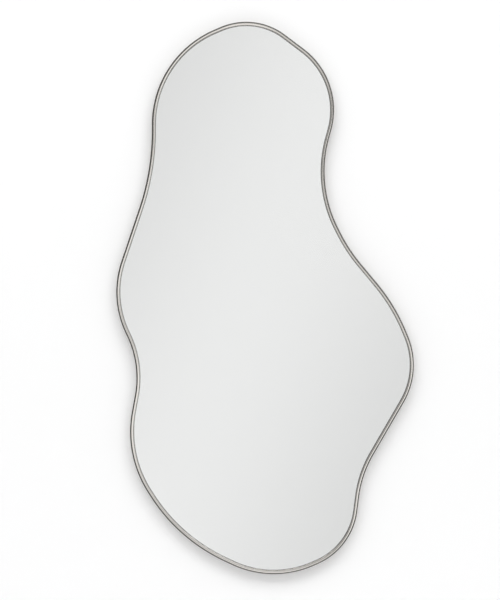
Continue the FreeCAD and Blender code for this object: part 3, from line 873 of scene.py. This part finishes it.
@dataclass(frozen=True)
class FrameSection:
    """The frame's section in millimetres: a half-round bead with a flat wall behind its outer edge."""

    bead: float = 5.0
    bead_depth: float = 22.0
    wall: float = 1.2
    rear: float = 2.0
    lip: float = 21.0
    edge: float = 0.25
    arc_steps: int = 28

    def loop(self) -> np.ndarray:
        """The closed section as (inset, depth) pairs, from the outer rear edge over the bead.

        The bead is the half circle inset = b - b cos a, depth = bead depth + b sin a, for a from 0 to
        half a turn.  Each square edge is cut by a small chamfer.

        Returns:
            An array of pairs in metres.
        """
        angle = np.linspace(0.0, math.pi, self.arc_steps + 1)
        inset, depth = self.bead - self.bead * np.cos(angle), self.bead_depth + self.bead * np.sin(angle)
        width, cut = 2.0 * self.bead, self.edge
        before = [(cut, self.rear), (0.0, self.rear + cut)]
        after = [
            (width, self.lip + cut),
            (width - cut, self.lip),
            (self.wall + cut, self.lip),
            (self.wall, self.lip - cut),
            (self.wall, self.rear + cut),
            (self.wall - cut, self.rear),
        ]
        return np.concatenate([before, np.stack([inset, depth], axis=-1), after]) * MM

    def middle(self) -> np.ndarray:
        """The middle of the bead as an (inset, depth) pair in metres."""
        return np.array([self.bead, self.bead_depth]) * MM


@dataclass
class FrameRun:
    """One bent half of the frame, from joint to joint."""

    name: str
    start: Stop
    end: Stop
    section: FrameSection
    finish: Finish
    break_edge: float = 0.15

    def build(self) -> bpy.types.Object:
        """Build the run as a tube of section rings with a cap at each end, and map its surface.

        Returns:
            The finished piece.
        """
        way = self._with_end_rings(OUTLINE.walk(self.start, self.end))
        points = self._points(way)
        rings, sides = points.shape[:2]
        quads = tube_faces(rings, sides)
        first_cap = np.arange(sides)
        last_cap = rings * sides - 1 - np.arange(sides)
        faces = quads.tolist() + [first_cap.tolist(), last_cap.tolist()]
        made = mesh_piece(self.name + "_bead", points, faces, self.finish, self.name)
        layer = made.data.uv_layers.new(name="surface")
        layer.data.foreach_set("uv", self._map(way, quads).astype(np.float32).ravel())
        return made

    def _with_end_rings(self, way: Way) -> Way:
        """Add a ring close to each end, where the drawing in stops.

        Args:
            way: The run's way.

        Returns:
            The way with two more places.
        """
        first, last = slice(None, 1), slice(-1, None)
        spots, headings, ahead = way.spots, way.headings, self.break_edge * MM * way.onward()
        near = [spots[first] + ahead[first], spots[1:-1], spots[last] - ahead[last]]
        return Way(
            np.concatenate([spots[first], *near, spots[last]]),
            np.concatenate([headings[first], headings[:-1], headings[last], headings[last]]),
        )

    def _points(self, way: Way) -> np.ndarray:
        """Carry the section along the outline: point = spot + inset x inward, at y = -depth.

        The first and the last ring are drawn in a little towards the bead's middle, so that the joints
        show as hairlines.

        Args:
            way: The run's way.

        Returns:
            The corners in metres, in an array of rings by sides by three.
        """
        rings = np.tile(self.section.loop(), (len(way.spots), 1, 1))
        middle = self.section.middle()
        for end in (0, -1):
            reach = np.hypot(*(rings[end] - middle).T)
            draw = self.break_edge * MM / np.maximum(reach, MM)
            rings[end] += (middle - rings[end]) * draw[:, None]
        inset, depth = rings[..., :1], rings[..., 1:]
        flat = way.spots[:, None] + inset * way.inward()[:, None]
        return np.concatenate([flat[..., :1], -depth, flat[..., 1:]], axis=-1)

    def _map(self, way: Way, quads: np.ndarray) -> np.ndarray:
        """The surface's map in metres, the distance along the way first and round the section second.

        Args:
            way: The run's way.
            quads: The faces between the rings, whose last two corners lie further round.

        Returns:
            The place on the map of each face corner, the caps' corners last.
        """
        loop = self.section.loop()
        sides = len(loop)
        along, around = distance_along(way.spots), distance_along(loop)
        lap = distance_along(np.concatenate([loop, loop[:1]]))[-1]
        side = quads % sides
        over = around[side]
        over[:, 2:][side[:, 2:] == 0] = lap
        tube = np.stack([along[quads // sides], over], axis=-1).reshape(-1, 2)
        first_cap = np.stack([np.zeros(sides), around], axis=-1)
        last_cap = np.stack([np.full(sides, along[-1]), around[::-1]], axis=-1)
        return np.concatenate([tube, first_cap, last_cap])


@dataclass(frozen=True)
class GlassSheet:
    """The mirror glass, in millimetres: a flat slab with ground edges."""

    inset: float = 2.2
    front: float = 20.5
    rear: float = 16.53
    arris: float = 0.4
    heart: Span = (-20.0, -430.0)
    shares: Triple = (0.3, 0.6, 0.85)
    finish: Finish = GLASS

    def build(self) -> bpy.types.Object:
        """Carry a profile round the outline, from a pole in the front face over the edge to one behind.

        Each ring is heart + s (spot + inset x inward - heart), at y = -depth, where the share s is below
        1 on the flat faces.  The edge has a small chamfer.

        Returns:
            The finished piece.
        """
        way = OUTLINE.walk(CROWN_TOP, CROWN_TOP)
        spots, inward = way.spots[:-1], way.inward()[:-1]
        heart = np.array(self.heart) * MM
        flat, edge = self.inset + self.arris, self.inset
        profile = [(flat, self.front, share) for share in self.shares]
        profile += [(flat, self.front, 1.0), (edge, self.front - self.arris, 1.0)]
        profile += [(edge, self.rear + self.arris, 1.0), (flat, self.rear, 1.0)]
        profile += [(flat, self.rear, share) for share in reversed(self.shares)]
        inset, depth, share = np.array(profile).T[:, :, None, None]
        face = heart + (spots + inset * MM * inward - heart) * share
        level = np.broadcast_to(-depth * MM, face[..., :1].shape)
        rings = np.concatenate([face[..., :1], level, face[..., 1:]], axis=-1)
        poles = [[heart[0], -self.front * MM, heart[1]], [heart[0], -self.rear * MM, heart[1]]]
        points = np.concatenate([rings.reshape(-1, 3), poles])
        count, sides = len(profile), len(spots)
        turn = np.arange(sides)
        after = (turn + 1) % sides
        last = (count - 1) * sides
        front_fan = np.stack([np.full(sides, count * sides), turn, after], axis=-1)
        rear_fan = np.stack([np.full(sides, count * sides + 1), last + after, last + turn], axis=-1)
        faces = tube_faces(count, sides).tolist() + front_fan.tolist() + rear_fan.tolist()
        return mesh_piece("mirror_glass_sheet", points, faces, self.finish, "mirror_glass")


# --------------------------------------------------------------------------------------------------------
# Sub-assemblies
# --------------------------------------------------------------------------------------------------------


def dress(names: Iterable[str], finish: Finish) -> None:
    """Give CAD nodes a finish.

    Args:
        names: The nodes' names.
        finish: Their finish.
    """
    for name in names:
        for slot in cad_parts[name].material_slots:
            slot.material = finish.material()
        LOG.info("%s: %s", name, finish.name)


def nodes_named(*starts: str) -> list[str]:
    """The CAD nodes whose names start with one of some words."""
    return sorted(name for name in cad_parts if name.startswith(starts))


@dataclass
class MetalFrame:
    """The two bent runs with their joiners and seam plates."""

    section: FrameSection = FrameSection()
    runs: Finish = NICKEL
    joiners: Finish = JOINER_METAL
    seam_plates: Finish = BRACKET

    def build(self) -> None:
        """Build both runs and dress what joins them."""
        FrameRun("frame_run_left", CROWN_TOP, FOOT_BOTTOM, self.section, self.runs).build()
        FrameRun("frame_run_right", FOOT_BOTTOM, CROWN_TOP, self.section, self.runs).build()
        dress(nodes_named("joint_spigot"), self.joiners)
        dress(nodes_named("seam_plate"), self.seam_plates)


@dataclass
class Glazing:
    """Gasket, glass, silver, film and tape."""

    sheet: GlassSheet = GlassSheet()
    silver: Finish = SILVER
    gasket: Finish = GASKET
    film: Finish = FILM
    tape: Finish = TAPE

    def build(self) -> None:
        """Build the glass and dress the layers round it."""
        self.sheet.build()
        dress(["silver_backing"], self.silver)
        dress(["glazing_gasket"], self.gasket)
        dress(["safety_film"], self.film)
        dress(nodes_named("tape_"), self.tape)


@dataclass
class BackBoard:
    """The board with its clips, screws and bumpers, whose shapes are the CAD nodes' own."""

    board: Finish = BOARD
    clips: Finish = BRACKET
    screws: Finish = SCREW
    bumpers: Finish = RUBBER

    def build(self) -> None:
        """Dress the board, what is fixed round it and all screws."""
        dress(["back_board"], self.board)
        dress([name for name in nodes_named("clip_") if name != "clip_screws"], self.clips)
        dress(["clip_screws", "hanger_screws"], self.screws)
        dress(nodes_named("bumper_"), self.bumpers)


@dataclass
class Hangers:
    """The two straps and their hinged rings, whose shapes are the CAD nodes' own."""

    metal: Finish = HANGER

    def build(self) -> None:
        """Dress straps and rings."""
        dress(nodes_named("hanger_strap", "hanger_ring"), self.metal)


# --------------------------------------------------------------------------------------------------------
# Studio
# --------------------------------------------------------------------------------------------------------


class Sight(Enum):
    """Kinds of light path that a stage sheet can be hidden from, as the object's settings."""

    SHADOW = "visible_shadow"
    DIFFUSE = "visible_diffuse"
    GLOSSY = "visible_glossy"


@dataclass(frozen=True)
class Backdrop:
    """A flat stage sheet of white paint, with its corners in metres.

    It keeps its shadows and reads as pure white where nothing shades it.  White is how white the paint
    is, and glow the part of the white that the eye, metal and glass get in any case.  A one-sided sheet
    is clear from behind.
    """

    name: str
    paint: str
    corners: tuple[Triple, ...]
    white: float
    glow: float
    one_sided: bool
    hidden_from: tuple[Sight, ...]

    def build(self) -> None:
        """Build the sheet from its four corners and hide it from the named paths."""
        mesh = bpy.data.meshes.new(self.name)
        mesh.from_pydata(list(self.corners), [], [(0, 1, 2, 3)])
        made = bpy.data.objects.new(self.name, mesh)
        bpy.context.scene.collection.objects.link(made)
        mesh.materials.append(self._material())
        for sight in self.hidden_from:
            setattr(made, sight.value, False)

    def _material(self) -> bpy.types.Material:
        """Make the paint.

        Returns:
            The material.
        """
        made = bpy.data.materials.new(self.paint)
        made.use_nodes = True
        graph = Graph(made.node_tree)
        paint = graph.node("ShaderNodeBsdfDiffuse", None, {"Color": (*even(self.white), 1.0)})
        lit = graph.node("ShaderNodeEmission", None, {"Strength": 1.0})
        shown = graph.ray(Ray.CAMERA).most(graph.reflected())
        shader = graph.either(shown * self.glow, paint, lit)
        if self.one_sided:
            behind = graph.node("ShaderNodeNewGeometry", output="Backfacing")
            shader = graph.either(behind, shader, graph.node("ShaderNodeBsdfTransparent"))
        graph.finish(shader)
        return made


@dataclass(frozen=True)
class SoftLamp:
    """A soft lamp that faces the mirror, in metres and watts, with its width and height."""

    name: str
    spot: Triple
    size: Span
    power: float

    def build(self, aim: Triple) -> None:
        """Set the lamp up.

        Args:
            aim: The point that it faces.
        """
        lamp = bpy.data.lights.new(self.name, "AREA")
        lamp.shape = "RECTANGLE"
        lamp.size, lamp.size_y = self.size
        lamp.energy = self.power
        made = bpy.data.objects.new(self.name, lamp)
        made.location = self.spot
        made.rotation_euler = (Vector(aim) - Vector(self.spot)).to_track_quat("-Z", "Y").to_euler()
        made.visible_glossy = False
        bpy.context.scene.collection.objects.link(made)


@dataclass(frozen=True)
class Fade:
    """A tone that changes by a step, smoothly between two places."""

    base: float
    step: float
    low: float
    high: float

    def over(self, place: Term) -> Term:
        """The tone at a place: base + step x the smooth rise from low to high."""
        return self.base + place.rise(self.low, self.high) * self.step


@dataclass(frozen=True)
class Room:
    """The room in front of the mirror, which only gloss sees, as tones by direction.

    It has a pale panel in the middle, brightest along a slanting line.  Beside it the front is pale
    below the skyline and dim above.  Further round are grey sides, a pale ceiling and a ground that is
    pale in the middle.  Behind the mirror it is white, as the background is, and greyer low down.
    """

    slant: Span = (0.912, 0.409)
    slant_width: float = 0.093
    panel: float = 0.70
    panel_peak: float = 0.213
    panel_side: Span = (0.082, 0.10)
    panel_end: Span = (0.2, 0.4)
    above: Fade = Fade(0.06, 0.2, 0.0, 0.4)
    below: Fade = Fade(0.86, 0.36, 0.0, 0.3)
    skyline: Span = (-0.03, 0.10)
    side: Fade = Fade(0.36, 0.36, -0.4, 0.5)
    side_edge: Span = (0.36, 0.62)
    ceiling: Fade = Fade(0.6, 0.3, -0.5, 0.8)
    ceiling_edge: Span = (0.3, 0.65)
    ground: Fade = Fade(0.9, -0.5, 0.2, 0.45)
    ground_edge: Span = (0.25, 0.5)
    behind: Fade = Fade(0.45, 0.55, -0.35, 0.2)
    behind_lean: float = 0.25
    behind_edge: Span = (-0.05, 0.2)

    def tone(self, right: Term, ahead: Term, up: Term) -> Term:
        """The room's tone in a direction, put together from the front backwards.

        The panel is panel + peak x exp(-(s / width)^2), where s is the distance from the slanting line.

        Args:
            right: The direction's part to the right.
            ahead: Its part into the wall.
            up: Its part upwards.

        Returns:
            The tone, 1 being white.
        """
        aside = abs(right)
        off_line = (right * self.slant[0] - up * self.slant[1]) / self.slant_width
        panel = self.panel + (-(off_line * off_line)).exp() * self.panel_peak
        room = self.above.over(right).towards(self.below.over(right), 1.0 - up.rise(*self.skyline))
        room = room.towards(self.side.over(right), aside.rise(*self.side_edge))
        room = room.towards(self.ceiling.over(right), up.rise(*self.ceiling_edge))
        room = room.towards(self.ground.over(aside), (-up).rise(*self.ground_edge))
        middle = (1.0 - aside.rise(*self.panel_side)) * (1.0 - abs(up).rise(*self.panel_end))
        behind = self.behind.over(up + right * self.behind_lean)
        return room.towards(panel, middle).towards(behind, ahead.rise(*self.behind_edge))


@dataclass(frozen=True)
class FrontCamera:
    """A long lens straight in front, in metres, with the lens and the sensor in millimetres."""

    name: str = "front_camera"
    aim_x: float = -0.0082
    aim_z: float = -0.4297
    lens: float = 120.0
    sensor_height: float = 36.0
    view_height: float = 1.5194
    silhouette_depth: float = 0.022
    far_clip: float = 100.0

    def build(self) -> None:
        """Stand where the view height just fills the picture at the frame's silhouette.

        Unturned, a camera looks down, and a quarter turn about x makes it look along y.
        """
        lens = bpy.data.cameras.new(self.name)
        lens.sensor_fit = "VERTICAL"
        lens.sensor_height = self.sensor_height
        lens.lens = self.lens
        lens.clip_end = self.far_clip
        made = bpy.data.objects.new(self.name, lens)
        reach = self.view_height * self.lens / self.sensor_height
        made.location = (self.aim_x, -self.silhouette_depth - reach, self.aim_z)
        made.rotation_euler = (math.pi / 2.0, 0.0, 0.0)
        bpy.context.scene.collection.objects.link(made)
        bpy.context.scene.camera = made


@dataclass
class Studio:
    """A white wall, a pale floor, soft light and the camera, in metres."""

    half_width: float = 2.6
    wall_top: float = 1.6
    floor: float = -1.75
    floor_front: float = -2.2
    floor_back: float = 2.0
    wall_white: float = 0.94
    wall_glow: float = 0.06
    floor_white: float = 0.78
    floor_glow: float = 0.4
    ambient: float = 0.64
    light_from_above: float = 0.35
    key_lamp: SoftLamp = SoftLamp("key_panel", (0.0, -4.2, 4.6), (11.0, 3.2), 312.0)
    rear_lamp: SoftLamp = SoftLamp("rear_panel", (0.9, 3.0, 0.9), (2.4, 2.4), 36.0)
    room: Room = Room()
    camera: FrontCamera = FrontCamera()

    def build(self) -> None:
        """Build everything round the mirror."""
        self._wall().build()
        self._floor().build()
        self._world()
        for lamp in (self.key_lamp, self.rear_lamp):
            lamp.build((0.0, 0.0, self.camera.aim_z))
        self.camera.build()

    def _wall(self) -> Backdrop:
        """The wall that the mirror hangs on, clear from behind.

        It lets light through to the mirror's back, and gloss sees the world's white in its place.

        Returns:
            The wall's sheet.
        """
        wide, low, high = self.half_width, self.floor, self.wall_top
        corners = ((-wide, 0.0, low), (wide, 0.0, low), (wide, 0.0, high), (-wide, 0.0, high))
        hidden = (Sight.SHADOW, Sight.DIFFUSE, Sight.GLOSSY)
        return Backdrop(
            "studio_wall", "white_wall", corners, self.wall_white, self.wall_glow, True, hidden
        )

    def _floor(self) -> Backdrop:
        """A pale floor that the mirror doesn't show.

        Returns:
            The floor's sheet.
        """
        wide, low, near, far = self.half_width, self.floor, self.floor_front, self.floor_back
        corners = ((-wide, near, low), (wide, near, low), (wide, far, low), (-wide, far, low))
        return Backdrop(
            "studio_floor", "pale_floor", corners, self.floor_white, self.floor_glow, False, (Sight.GLOSSY,)
        )

    def _world(self) -> None:
        """Even light for paint, stronger from above, white for the eye, and the room for gloss.

        Texture Coordinate's first output is the direction, with its parts right, ahead and up.
        """
        world = bpy.data.worlds.new("studio_world")
        bpy.context.scene.world = world
        world.use_nodes = True
        graph = Graph(world.node_tree)
        right, ahead, up = graph.axes(graph.node("ShaderNodeTexCoord"))
        plain = graph.sky((up * self.light_from_above + 1.0) * self.ambient)
        glossy = graph.sky(self.room.tone(right, ahead, up))
        mixed = graph.either(graph.reflected(), plain, glossy)
        mixed = graph.either(graph.ray(Ray.CAMERA), mixed, graph.sky(1.0))
        graph.finish(mixed, "ShaderNodeOutputWorld")


def main() -> None:
    """Build the mirror and its studio in order."""
    logging.basicConfig(level=logging.INFO, format="%(name)s: %(message)s")
    MetalFrame().build()
    Glazing().build()
    BackBoard().build()
    Hangers().build()
    Studio().build()
    bpy.context.scene.view_settings.view_transform = "Standard"


if __name__ == "__main__":
    main()
